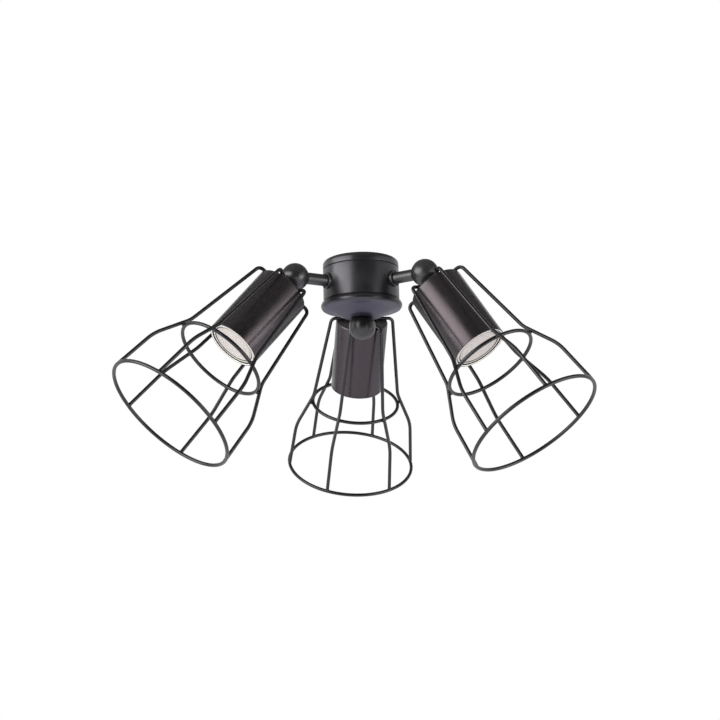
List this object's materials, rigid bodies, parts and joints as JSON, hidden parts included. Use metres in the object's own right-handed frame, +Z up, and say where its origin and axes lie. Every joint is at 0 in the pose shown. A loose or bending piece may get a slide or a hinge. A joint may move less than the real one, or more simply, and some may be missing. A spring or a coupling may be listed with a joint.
{
  "type": "ceiling fan light kit",
  "caption": "Fan light kit: a round hub carries short arms with slotted ball swivels, each holding a lamp cup inside a bell-shaped cage of welded wire.",
  "frame": {"origin": "centre of the hub's top face, which meets the underside of the fan", "axes": "+Z up along the hub's axis; one arm points along +Y, away from the viewer, and the two others point forward to the left and right"},
  "size_m": [0.4563, 0.4158, 0.2263],
  "materials": {
    "bronze_paint": "satin",
    "wire_paint": "satin",
    "zinc_steel": "satin",
    "black_plastic": "matte",
    "lead_sleeve": "matte",
    "steatite": "matte",
    "lamp_white": "gloss"
  },
  "bodies": {
    "hub": {"top_cap": "bronze_paint", "drum": "bronze_paint", "bottom_dish": "bronze_paint", "finial": "bronze_paint", "center_stem": "zinc_steel", "stem_nut_upper": "zinc_steel", "stem_nut_lower": "zinc_steel", "terminal_block": "black_plastic", "wiring_harness": "lead_sleeve", "arm_tube_1": "bronze_paint", "arm_nut_1": "zinc_steel", "arm_tube_2": "bronze_paint", "arm_nut_2": "zinc_steel", "arm_tube_3": "bronze_paint", "arm_nut_3": "zinc_steel"},
    "swivel_1": {"swivel_ball_1": "bronze_paint"},
    "head_1": {"knuckle_1": "bronze_paint", "neck_nut_1": "zinc_steel", "cup_1": "bronze_paint", "lampholder_1": "steatite", "cage_collar_1": "wire_paint", "cage_mid_ring_1": "wire_paint", "cage_mouth_ring_1": "wire_paint", "cage_wire_1_1": "wire_paint", "cage_wire_1_2": "wire_paint", "cage_wire_1_3": "wire_paint", "cage_wire_1_4": "wire_paint", "cage_wire_1_5": "wire_paint", "cage_wire_1_6": "wire_paint"},
    "lamp_body_1": {"lamp_1": "lamp_white"},
    "swivel_2": {"swivel_ball_2": "bronze_paint"},
    "head_2": {"knuckle_2": "bronze_paint", "neck_nut_2": "zinc_steel", "cup_2": "bronze_paint", "lampholder_2": "steatite", "cage_collar_2": "wire_paint", "cage_mid_ring_2": "wire_paint", "cage_mouth_ring_2": "wire_paint", "cage_wire_2_1": "wire_paint", "cage_wire_2_2": "wire_paint", "cage_wire_2_3": "wire_paint", "cage_wire_2_4": "wire_paint", "cage_wire_2_5": "wire_paint", "cage_wire_2_6": "wire_paint"},
    "lamp_body_2": {"lamp_2": "lamp_white"},
    "swivel_3": {"swivel_ball_3": "bronze_paint"},
    "head_3": {"knuckle_3": "bronze_paint", "neck_nut_3": "zinc_steel", "cup_3": "bronze_paint", "lampholder_3": "steatite", "cage_collar_3": "wire_paint", "cage_mid_ring_3": "wire_paint", "cage_mouth_ring_3": "wire_paint", "cage_wire_3_1": "wire_paint", "cage_wire_3_2": "wire_paint", "cage_wire_3_3": "wire_paint", "cage_wire_3_4": "wire_paint", "cage_wire_3_5": "wire_paint", "cage_wire_3_6": "wire_paint"},
    "lamp_body_3": {"lamp_3": "lamp_white"}
  },
  "joints": [
    {"name": "head_turn_1", "type": "hinge", "parent": "hub", "child": "swivel_1", "pos_m": [-0.06409, -0.037, -0.0245], "axis": [-0.866, -0.5, 0], "range_deg": [-88.4, 91.6]},
    {"name": "head_tilt_1", "type": "hinge", "parent": "swivel_1", "child": "head_1", "pos_m": [-0.06409, -0.037, -0.0245], "axis": [-0.4998, 0.8657, 0.0279], "range_deg": [-33.8, 43.2]},
    {"name": "lamp_twist_1", "type": "hinge", "parent": "head_1", "child": "lamp_body_1", "pos_m": [-0.09053, -0.05119, -0.05803], "axis": [-0.5876, -0.3152, -0.7452], "range_deg": [0, 20]},
    {"name": "head_turn_2", "type": "hinge", "parent": "hub", "child": "swivel_2", "pos_m": [0.06409, -0.037, -0.0245], "axis": [0.866, -0.5, 0], "range_deg": [-92.3, 87.7]},
    {"name": "head_tilt_2", "type": "hinge", "parent": "swivel_2", "child": "head_2", "pos_m": [0.06409, -0.037, -0.0245], "axis": [-0.4996, -0.8653, -0.0401], "range_deg": [-25.5, 51.5]},
    {"name": "lamp_twist_2", "type": "hinge", "parent": "head_2", "child": "lamp_body_2", "pos_m": [0.08635, -0.04811, -0.062], "axis": [0.4947, -0.247, -0.8332], "range_deg": [0, 20]},
    {"name": "head_turn_3", "type": "hinge", "parent": "hub", "child": "swivel_3", "pos_m": [0, 0.074, -0.0245], "axis": [0, 1, 0], "range_deg": [-98.3, 81.7]},
    {"name": "head_tilt_3", "type": "hinge", "parent": "swivel_3", "child": "head_3", "pos_m": [0, 0.074, -0.0245], "axis": [0.9895, 0, -0.1444], "range_deg": [-31.2, 45.8]},
    {"name": "lamp_twist_3", "type": "hinge", "parent": "head_3", "child": "lamp_body_3", "pos_m": [-0.00503, 0.10244, -0.05901], "axis": [-0.1119, 0.632, -0.7668], "range_deg": [0, 20]}
  ]
}
